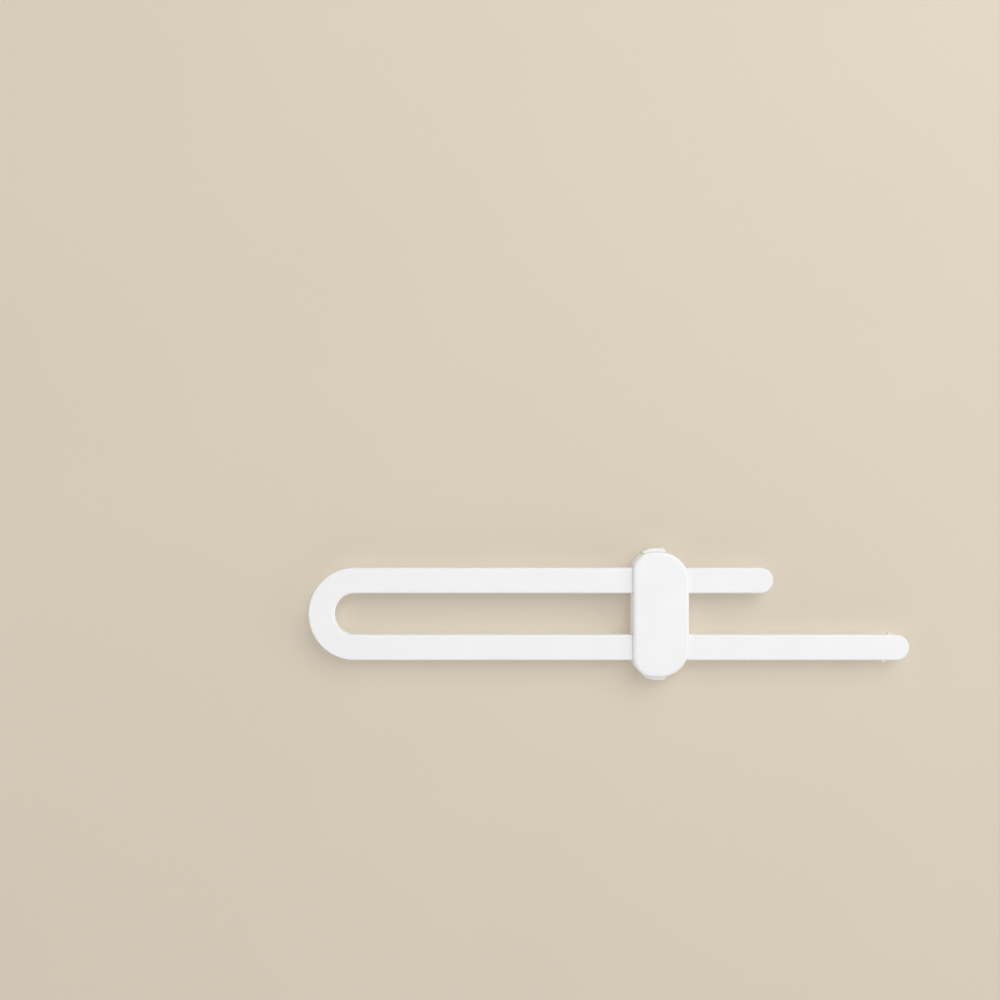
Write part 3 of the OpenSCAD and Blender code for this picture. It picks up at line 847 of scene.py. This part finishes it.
class LOCK_OT_front_housing(bpy.types.Operator):
    """Makes the front shell of the slider, with its slots, windows, spring rib and screw bosses"""

    bl_idname = "lock.front_housing"
    bl_label = "Front housing"

    def execute(self, context):
        scene = context.scene
        plan = SliderPlan(scene)
        sizes, finish = scene.lock_slider, scene.lock_finish
        top, ceiling = SHELL_HIGH[2], plan.front_in_z
        rim_z = top - sizes.crown
        bottom = np.where(plan.kind == "wall", plan.parting_z, ceiling)
        solid = plan.kind == "wall"
        fine = sizes.parting_edge * solid
        sine, cosine = quarter(10)
        small_sine, small_cosine = quarter(3)
        edge = sizes.front_edge
        rows = plan.face(edge, rim_z, top, CROWN_SHARES)
        rows += plan.rows(edge * (1 - sine), rim_z - edge * (1 - cosine))
        rows += plan.rows([0.0, 0.0], [rim_z - edge - FLAT, ceiling])
        rows += plan.rows([0.0], [bottom + fine + FLAT * plan.within(solid)])
        rows += plan.rows(
            sizes.parting_edge * (1 - small_cosine), [bottom + fine * (1 - s) for s in small_sine])
        wall = sizes.shell_wall
        rows += plan.rows([sizes.parting_edge + FLAT, wall, wall], [bottom, bottom, ceiling])
        rows += plan.face(wall, ceiling, ceiling, CEILING_SHARES)
        surface = Surface()
        surface.sheet(np.stack(rows), loop_v=True)
        self.inside(surface, scene, plan)
        white = moulded_plastic("front_shell_white", finish, finish.shell)
        place(surface, "front_shell", "front_housing", white)
        return {"FINISHED"}

    def inside(self, surface, scene, plan):
        """Middle rib, spring pegs and bored bosses, each sunk a little into the wall that carries it."""
        sizes, metal, button = scene.lock_slider, scene.lock_metal, scene.lock_button
        half_rib = sizes.rib_t / 2
        sunk = plan.front_in_z + sizes.front_wall / 2
        reach = sizes.shell_wall + sizes.lip_gap
        rooted = plan.parting_z + sizes.lip_gap
        for inset, thin, low in ((reach, 0.0, SHELL_LOW[2]), (sizes.shell_wall / 2, FLAT, rooted)):
            rib = box_outline(plan.x0 + inset, plan.x1 - inset, thin - half_rib, half_rib - thin, sizes.soft)
            prism(surface, rib, low, sunk + thin, sizes.soft)
        peg = circle(SPRING_AXIS, button.peg_d / 2)
        tip = half_rib + peg_reach(scene)
        prism(surface, peg, -tip, tip, 2 * sizes.soft, along="y")
        bore = metal.shank_d / 2 + metal.bore_fit
        pad_z = sizes.back_wall + sizes.pad_h
        end_z = SCREW_HIGH[2] + metal.bore_end
        outer = sizes.boss_d / 2
        profile = [(outer, sunk), (outer, pad_z + sizes.soft), (outer - sizes.soft, pad_z),
                   (bore + sizes.soft, pad_z), (bore, pad_z + sizes.soft), (bore, end_z), (0.0, end_z)]
        for centre in screw_places():
            surface.begin()
            lathe(surface, [(0.0, sunk)] + profile, centre)


def peg_reach(scene):
    """How far a spring peg reaches, on rib and button alike: from the button's block to its peg's tip."""
    block = scene.lock_rail.bow_r - scene.lock_button.gap - scene.lock_button.block_t
    return block - BUTTON_LOW[1]


def screw_places():
    """The two screws' places in plan."""
    middle = (SCREW_LOW + SCREW_HIGH) / 2
    return [(middle[0], middle[1]), (middle[0], -middle[1])]


class LOCK_OT_back_cover(bpy.types.Operator):
    """Makes the back shell of the slider, with its screw seats, locating lips and button guides"""

    bl_idname = "lock.back_cover"
    bl_label = "Back cover"

    def execute(self, context):
        scene = context.scene
        plan = SliderPlan(scene)
        sizes, metal, finish = scene.lock_slider, scene.lock_metal, scene.lock_finish
        low, floor = COVER_LOW[2], COVER_LOW[2] + sizes.back_wall
        shut = plan.kind != "window"
        top = np.where(shut, plan.parting_z, floor)
        fine = sizes.parting_edge * shut
        edge, wall = sizes.back_edge, sizes.shell_wall
        sine, cosine = quarter(6)
        small_sine, small_cosine = quarter(3)
        rows = plan.rows([edge + FLAT], [low])
        rows += plan.rows(edge * (1 - sine), low + edge * (1 - cosine))
        rows += plan.rows([0.0, 0.0], [low + edge + FLAT, floor])
        rows += plan.rows([0.0], [top - fine - FLAT * plan.within(shut)])
        rows += plan.rows(sizes.parting_edge * (1 - small_cosine), [top - fine * (1 - s) for s in small_sine])
        rows += plan.rows([sizes.parting_edge + FLAT, wall, wall, wall + FLAT], [top, top, floor, floor])
        surface = Surface()
        surface.sheet(np.stack(rows), loop_v=True)
        hole = metal.head_fit + (SCREW_HIGH[0] - SCREW_LOW[0]) / 2
        mouth = hole + metal.seat_edge
        self.holed_plate(surface, rows[0], mouth, 1)
        self.holed_plate(surface, rows[-1], sizes.boss_d / 2, -1)
        bore = metal.shank_d / 2 + metal.bore_fit
        seat = SCREW_LOW[2] + metal.head_h
        pad = floor + sizes.pad_h
        profile = [(mouth, low), (hole, low + metal.seat_edge), (hole, seat), (bore, seat), (bore, pad),
                   (sizes.boss_d / 2 - sizes.soft, pad), (sizes.boss_d / 2, pad - sizes.soft),
                   (sizes.boss_d / 2, floor)]
        for centre in screw_places():
            lathe(surface, profile, centre)
        self.inside(surface, scene, plan)
        white = moulded_plastic("back_shell_white", finish, finish.shell)
        place(surface, "back_shell", "back_cover", white)
        return {"FINISHED"}

    def holed_plate(self, surface, ring, radius, order):
        """A flat face with two round holes: cut in two through the holes' middles, each half one face, whose
        corners follow the ring, or run against it where the order is below zero."""
        upper, lower = screw_places()
        at = np.abs(ring[:, 0] - upper[0])
        top = np.argmin(np.where(ring[:, 1] > upper[1], at, np.inf))
        bottom = np.argmin(np.where(ring[:, 1] < lower[1], at, np.inf))
        height = ring[0, 2]
        upper_hole, lower_hole = (lifted(circle(centre, radius), height) for centre in (upper, lower))
        far = np.arange(ROUND // 2 + 1)
        near = np.arange(ROUND // 2, ROUND + 1) % ROUND
        for parts in ((ring[top:bottom + 1], lower_hole[far], upper_hole[far]),
                      (ring[bottom:], ring[:top + 1], upper_hole[near], lower_hole[near])):
            surface.cap(np.concatenate(parts)[::order])

    def inside(self, surface, scene, plan):
        """Locating lips beside the rib and guides beside each button, sunk a little into the plate."""
        sizes, button, rail = scene.lock_slider, scene.lock_button, scene.lock_rail
        sunk = COVER_LOW[2] + sizes.back_wall / 2
        lip_y = (sizes.rib_t / 2 + button.gap, rail.bow_r - sizes.slide_gap - sizes.lip_t)
        lip_x = (plan.x0 + sizes.shell_wall + sizes.lip_gap,
                 plan.x1 - sizes.shell_wall - sizes.lip_gap - sizes.lip_t)
        guide_y = (rail.bow_r, rail.bow_r + rail.arm_w)
        guide_x = (plan.window[0] - sizes.guide_t, plan.window[1])
        guide_z = COVER_LOW[2] + sizes.back_wall + sizes.guide_h
        for side in (-1, 1):
            for starts, thick, ends, top in ((lip_x, sizes.lip_t, lip_y, COVER_HIGH[2]),
                                             (guide_x, sizes.guide_t, guide_y, guide_z)):
                y0, y1 = sorted(side * np.array(ends))
                for x in starts:
                    prism(surface, box_outline(x, x + thick, y0, y1, sizes.soft), sunk, top, sizes.soft)


class LOCK_OT_buttons(bpy.types.Operator):
    """Makes both squeeze buttons: tab, flange, plate, pawl, and block with its spring peg"""

    bl_idname = "lock.buttons"
    bl_label = "Squeeze buttons"

    def execute(self, context):
        scene = context.scene
        finish = scene.lock_finish
        white = moulded_plastic("button_white", finish, finish.button)
        for side, node in ((1, "upper_button"), (-1, "lower_button")):
            surface = Surface()
            self.shapes(surface, scene)
            surface.points = [points * [1, side, 1] for points in surface.points]
            place(surface, node.replace("button", "squeeze_tab"), node, white)
        return {"FINISHED"}

    def shapes(self, surface, scene):
        """The upper button's mouldings, which run into each other."""
        plan = SliderPlan(scene)
        sizes, slider, rail = scene.lock_button, scene.lock_slider, scene.lock_rail
        low, high = BUTTON_LOW[2], BUTTON_HIGH[2]
        soft = slider.soft
        x0, x1 = plan.x0 + sizes.tab_near, plan.x0 + sizes.tab_far
        flange_y = plan.half - slider.shell_wall - sizes.gap - sizes.flange_t
        root_y = flange_y + sizes.flange_t / 2
        prism(surface, self.tab(sizes, x0, x1, root_y), low, high, sizes.tab_edge, steps=5)
        flange = self.flange(plan, sizes, x1 + sizes.flange_side, flange_y)
        prism(surface, flange, low + FLAT, high - FLAT, soft)
        block_y1 = rail.bow_r - sizes.gap
        block_y0 = block_y1 - sizes.block_t
        plate = box_outline(x0, x1, block_y0, root_y, soft)
        prism(surface, plate, low + 2 * FLAT, low + sizes.plate_t, soft)
        block = box_outline(x0 + FLAT, x1 - FLAT, block_y0 + FLAT, block_y1, soft)
        prism(surface, block, low + 3 * FLAT, high, soft)
        peg = circle(SPRING_AXIS, sizes.peg_d / 2)
        prism(surface, peg, BUTTON_LOW[1], block_y0 + sizes.block_t / 2, 2 * soft, along="y")
        groove_z = RAIL_LOW[2] + rail.groove_depth - slider.slide_gap
        prism(surface, self.pawl(scene, plan), low + sizes.plate_t / 2, groove_z, soft)

    def tab(self, sizes, x0, x1, y0):
        """Outline of the tab: a flat end that falls away in an arc towards its near side, with round corners.

        The near corner's centre lies one corner radius inside both the arc and the near side.
        """
        top, small, large = BUTTON_HIGH[1], sizes.tab_corner, sizes.tab_round
        centre = np.array([x1 - small - sizes.tab_flat, top - large])
        lean = math.acos((centre[0] - x0 - small) / (large - small))
        near = centre + (large - small) * np.array([-math.cos(lean), math.sin(lean)])
        turn = 180 - math.degrees(lean)
        return np.concatenate([
            [[x0, y0], [x1, y0]],
            arc((x1 - small, top - small), small, 0, 90, 10),
            arc(centre, large, 90, turn, 14)[:-1],
            arc(near, small, turn, 180, 10)])

    def flange(self, plan, sizes, end, flange_y):
        """Outline of the flange: the inside of the slider's end less the gap, cut off at end and foot."""
        inset = plan.sizes.shell_wall + sizes.gap
        near_r, far_r = plan.sizes.corner_near - inset, plan.sizes.corner_far - inset
        far_cut = math.degrees(math.acos((end - plan.far[0]) / far_r))
        near_cut = 180 - math.degrees(math.asin((flange_y - plan.near[1]) / near_r))
        return np.concatenate([
            [[end, flange_y]],
            arc(plan.far, far_r, far_cut, 90, 12),
            arc(plan.near, near_r, 90, near_cut, 12)])

    def pawl(self, scene, plan):
        """Outline of the pawl: teeth that fill the gaps of the rack, less the mesh clearance."""
        sizes, rail = scene.lock_button, scene.lock_rail
        count = pawl_teeth(scene)
        middle = plan.x0 + (sizes.tab_near + sizes.tab_far) / 2
        first = middle - count * rail.tooth_pitch / 2 - sizes.mesh_gap
        peak = rail.bow_r + rail.arm_w - rail.groove_wall_out - sizes.mesh_gap
        root = peak - rail.tooth_h
        inner = rail.bow_r + rail.groove_wall_in + PRESS + sizes.gap
        steps = first + rail.tooth_pitch * np.arange(1, count + 1)
        teeth = np.stack([np.repeat(steps, 2), np.tile([peak, root], count)], axis=-1)[:-1]
        outline = np.concatenate([[[steps[-1], inner], [first, inner], [first, root]], teeth])
        return rounded(outline[::-1], scene.lock_slider.soft + 2 * FLAT, 3)


class LOCK_OT_springs(bpy.types.Operator):
    """Makes both compression springs"""

    bl_idname = "lock.springs"
    bl_label = "Springs"

    def execute(self, context):
        scene = context.scene
        finish = scene.lock_finish
        steel = bare_metal("spring_wire", finish, finish.wire, EVEN, DRAWN, dullest=0.44, brightest=0.24)
        seat = scene.lock_slider.rib_t / 2 + scene.lock_metal.seat_gap
        middle_x, middle_z = SPRING_AXIS
        for side, name in ((1, "upper"), (-1, "lower")):
            surface = Surface()
            grid = self.coil(scene)
            # The lower spring is the upper one turned half round
            grid[..., 0] = middle_x + side * (grid[..., 0] - middle_x)
            grid[..., 1] *= side
            surface.sheet(grid, loop_v=True)
            surface.cap(grid[0])
            surface.cap(grid[-1][::-1])
            piece = place(surface, name + "_coil", name + "_spring", steel)
            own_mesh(piece)
        return {"FINISHED"}

    def coil(self, scene, rings=24, sides=12):
        """A round wire carried along a helix about Y: each point lies at the helix plus the wire's radius
        times cos a along the spoke and sin a across it. The pitch closes up, by a smooth step, over the end
        turns."""
        metal = scene.lock_metal
        wire_r = metal.wire / 2
        low, high = SPRING_LOW + wire_r, SPRING_HIGH - wire_r
        radius = (high[2] - low[2]) / 2
        centre = (low + high) / 2
        turn = np.linspace(0, metal.turns, int(metal.turns * rings) + 1)
        from_end = np.minimum(turn, metal.turns - turn)
        spread = np.clip((from_end - metal.end_turns / 2) / metal.end_turns, 0, 1)
        closed = metal.wire * metal.end_pitch * metal.turns / (high[1] - low[1])
        pitch = closed + spread * spread * (3 - 2 * spread)
        climb = np.concatenate([[0.0], np.cumsum((pitch[1:] + pitch[:-1]) / 2)])
        y = low[1] + (high[1] - low[1]) * climb / climb[-1]
        angle = 2 * math.pi * turn
        spoke = np.stack([np.cos(angle), 0 * angle, np.sin(angle)], axis=-1)
        path = radius * spoke + np.stack([centre[0] + 0 * y, y, centre[2] + 0 * y], axis=-1)
        along = np.gradient(path, axis=0)
        along /= np.linalg.norm(along, axis=1, keepdims=True)
        across = np.cross(along, spoke)
        about = 2 * math.pi * np.arange(sides)[None, :, None] / sides
        return path[:, None] + wire_r * (np.cos(about) * spoke[:, None] + np.sin(about) * across[:, None])


class LOCK_OT_screws(bpy.types.Operator):
    """Makes both screws: a low round head with a cross recess, and a threaded shank"""

    bl_idname = "lock.screws"
    bl_label = "Screws"

    def execute(self, context):
        scene = context.scene
        finish = scene.lock_finish
        zinc = bare_metal(
            "zinc_plate", finish, finish.zinc, DRAWN_ALONG, PLATED, dullest=0.46, brightest=0.26)
        for name, centre in zip(("upper", "lower"), screw_places()):
            surface = Surface()
            grid = self.turned(scene)
            grid[..., 0] += centre[0]
            grid[..., 1] += centre[1]
            surface.sheet(grid, loop_u=True)
            place(surface, name + "_cross_screw", name + "_screw", zinc)
        return {"FINISHED"}

    def turned(self, scene, count=2 * ROUND):
        """One sheet round the screw's axis, from the middle of the head's face to the point.

        On the face, height is the recess alone: its depth is full where a point lies inside either bar of
        the cross, less a fall towards the bar's ends, and goes to nothing over a short slope. On the shank,
        radius is the core plus a ridge that climbs one pitch a turn, times a root that goes to nothing at the
        point.
        """
        metal = scene.lock_metal
        angle = 2 * math.pi * np.arange(count)[:, None] / count
        face_z, point_z = SCREW_LOW[2], SCREW_HIGH[2]
        head_r = (SCREW_HIGH[0] - SCREW_LOW[0]) / 2
        core_r = metal.core_d / 2
        edge = metal.head_edge
        flat_r = np.linspace(0, head_r - edge, 44)[None, :]
        x, y = np.abs(flat_r * np.cos(angle)), np.abs(flat_r * np.sin(angle))
        along, across = np.maximum(x, y), np.minimum(x, y)
        room = np.minimum(metal.recess_w / 2 - across, metal.recess_d / 2 - along)
        inside = np.clip(room / metal.recess_slope + 0.5, 0, 1)
        fall = np.clip(1 - metal.recess_fall * along / (metal.recess_d / 2), 0, 1)
        face = face_z + metal.recess_h * inside * fall
        sine, cosine = quarter(6)
        seat_z = face_z + metal.head_h
        shank = np.linspace(seat_z, point_z, 140)
        tip = np.sqrt(np.clip((point_z - shank) / metal.point_l, 0, 1))
        climb = (shank[None, :] - seat_z) / metal.thread - angle / (2 * math.pi)
        ridge = np.clip(1 - np.abs(climb % 1 - 0.5) / metal.ridge, 0, 1)
        rise = np.clip((shank - seat_z) / metal.thread, 0, 1)
        body = (core_r + (metal.shank_d / 2 - core_r) * ridge * rise) * tip
        full = np.ones((count, 1))
        radius = np.concatenate([
            flat_r * full, (head_r - edge + edge * sine[None, 1:]) * full,
            np.array([[head_r, core_r + TINY]]) * full, body], axis=1)
        height = np.concatenate([
            face, (face_z + edge * (1 - cosine[None, 1:])) * full,
            np.array([[seat_z, seat_z]]) * full, shank[None, :] * full], axis=1)
        return np.stack([radius * np.cos(angle), radius * np.sin(angle), height], axis=-1)


# Width and height of the low lamps, and the lamps' tones
STRIP = (1.3, 0.7)
NEUTRAL, COOL = (1.0, 1.0, 1.0), (0.87, 0.92, 1.0)
# Each lamp's name, the property with its power, its width and height, its place and its tone
LAMPS = (
    ("key_light", "key", (0.85, 0.85), (0.4, 0.66, 0.85), NEUTRAL),
    ("front_light", "front", (1.0, 1.0), (-0.05, 0.2, 1.3), NEUTRAL),
    ("under_light", "under", (0.6, 0.6), (0.2, -0.3, -0.8), COOL),
    ("right_strip", "right", STRIP, (1.0, 0.05, 0.38), NEUTRAL),
    ("left_strip", "strip", STRIP, (-1.0, 0.05, 0.38), NEUTRAL),
    ("upper_strip", "upper", STRIP, (0.0, 1.0, 0.38), NEUTRAL),
    ("lower_strip", "strip", STRIP, (0.0, -1.0, 0.38), NEUTRAL),
)


def looked_at(tree):
    """A factor of 1 for rays that show a backdrop: the camera's, mirrored ones and those through glass."""
    path = tree.nodes.new("ShaderNodeLightPath")
    factor = path.outputs["Is Camera Ray"]
    for kind in ("Is Glossy Ray", "Is Transmission Ray"):
        either = tree.nodes.new("ShaderNodeMath")
        either.operation = "MAXIMUM"
        tree.links.new(factor, either.inputs[0])
        tree.links.new(path.outputs[kind], either.inputs[1])
        factor = either.outputs["Value"]
    return factor


class LOCK_OT_stage(bpy.types.Operator):
    """Sets the camera in front of the lock, the soft lamps, the even sky and the pale floor"""

    bl_idname = "lock.stage"
    bl_label = "Stage"

    def execute(self, context):
        scene = context.scene
        stage = scene.lock_stage
        scene.view_settings.view_transform = "Standard"
        view = bpy.data.cameras.new("front_view")
        view.sensor_width = stage.sensor
        view.lens = stage.lens
        camera = bpy.data.objects.new("front_view", view)
        camera.location = stage.camera
        scene.collection.objects.link(camera)
        scene.camera = camera
        for name, power, size, place_at, tone in LAMPS:
            self.lamp(scene, name, getattr(stage, power), size, place_at, tone)
        self.sky(scene, stage)
        self.floor(scene, stage)
        return {"FINISHED"}

    def lamp(self, scene, name, power, size, place_at, tone):
        """A soft lamp of a width and height that points at the lock and stays out of the picture."""
        light = bpy.data.lights.new(name, "AREA")
        light.energy = power
        light.color = tone
        light.shape = "RECTANGLE"
        light.size, light.size_y = size
        lamp = bpy.data.objects.new(name, light)
        lamp.visible_camera = False
        lamp.location = place_at
        lamp.rotation_euler = (-Vector(place_at)).to_track_quat("-Z", "Y").to_euler()
        scene.collection.objects.link(lamp)

    def sky(self, scene, stage):
        """Even light from all round, which the camera and the gloss of the pieces see as a pale backdrop."""
        world = bpy.data.worlds.new("studio")
        world.use_nodes = True
        tree = world.node_tree
        even = tree.nodes["Background"]
        even.inputs["Color"].default_value = (*stage.sky_tone, 1.0)
        even.inputs["Strength"].default_value = stage.sky
        seen = tree.nodes.new("ShaderNodeBackground")
        seen.inputs["Color"].default_value = (*scene.lock_finish.backdrop, 1.0)
        mixed = tree.nodes.new("ShaderNodeMixShader")
        tree.links.new(looked_at(tree), mixed.inputs[0])
        tree.links.new(even.outputs["Background"], mixed.inputs[1])
        tree.links.new(seen.outputs["Background"], mixed.inputs[2])
        tree.links.new(mixed.outputs["Shader"], tree.nodes["World Output"].inputs["Surface"])
        scene.world = world

    def floor(self, scene, stage):
        """A wide flat floor just under the lock: seen through from below, and fading to the backdrop's tone
        far out, by the distance from the middle, where the camera or a gloss looks at it."""
        finish = scene.lock_finish
        ring = stage.floor_reach * np.array([[-1, -1], [1, -1], [1, 1], [-1, 1]])
        mesh = bpy.data.meshes.new("floor")
        mesh.from_pydata(lifted(ring, -FLAT), [], [range(len(ring))])
        shader = Shader("floor_paint")
        cloud = shader.spread(shader.noise(EVEN, FLOOR_CLOUDS, 3.0), 0.0, 1.0)
        shader.feed(shader.surface, {
            "Base Color": shader.tint(cloud, toned(finish.floor, finish.floor_clouded), finish.floor),
            "Roughness": finish.floor_matt,
            "Specular IOR Level": finish.floor_sheen,
        })
        around = shader.node("NewGeometry").outputs
        away = shader.node("VectorMath", {0: around["Position"]}, operation="LENGTH").outputs["Value"]
        far = shader.spread(away, 0.0, 1.0, stage.fade_from, stage.fade_to)
        looked = looked_at(shader.tree)
        faded = shader.node("Math", {0: far, 1: looked}, operation="MULTIPLY").outputs["Value"]
        paint = shader.surface.outputs["BSDF"]
        glow = shader.node("Emission", {"Color": (*finish.backdrop, 1.0)}).outputs["Emission"]
        upper = shader.node("MixShader", {0: faded, 1: paint, 2: glow}).outputs["Shader"]
        clear = shader.node("BsdfTransparent").outputs["BSDF"]
        both = shader.node("MixShader", {0: around["Backfacing"], 1: upper, 2: clear}).outputs["Shader"]
        shader.feed(shader.tree.nodes["Material Output"], {"Surface": both})
        mesh.materials.append(shader.material)
        floor = bpy.data.objects.new("floor", mesh)
        floor.visible_shadow = False
        scene.collection.objects.link(floor)


class LOCK_PT_panel(bpy.types.Panel):
    """Lists the lock's pieces and the sizes and colours that they follow"""

    bl_idname = "LOCK_PT_panel"
    bl_label = "Sliding cabinet lock"
    bl_space_type = "VIEW_3D"
    bl_region_type = "UI"
    bl_category = "Lock"

    def draw(self, context):
        column = self.layout.column()
        for operator in OPERATORS:
            column.operator(operator.bl_idname)
        for key, group in GROUPS.items():
            box = self.layout.box()
            box.label(text=group.__doc__)
            for name in group.__annotations__:
                box.prop(getattr(context.scene, key), name)


OPERATORS = (LOCK_OT_stage, LOCK_OT_rail, LOCK_OT_front_housing, LOCK_OT_back_cover, LOCK_OT_buttons,
             LOCK_OT_springs, LOCK_OT_screws)
CLASSES = (*GROUPS.values(), *OPERATORS, LOCK_PT_panel)


def register():
    for cls in CLASSES:
        bpy.utils.register_class(cls)
    for key, group in GROUPS.items():
        setattr(bpy.types.Scene, key, bpy.props.PointerProperty(type=group))


def unregister():
    for key in GROUPS:
        delattr(bpy.types.Scene, key)
    for cls in reversed(CLASSES):
        bpy.utils.unregister_class(cls)


def main():
    register()
    bpy.ops.lock.stage()
    bpy.ops.lock.rail()
    bpy.ops.lock.front_housing()
    bpy.ops.lock.back_cover()
    bpy.ops.lock.buttons()
    bpy.ops.lock.springs()
    bpy.ops.lock.screws()


if __name__ == "__main__":
    main()
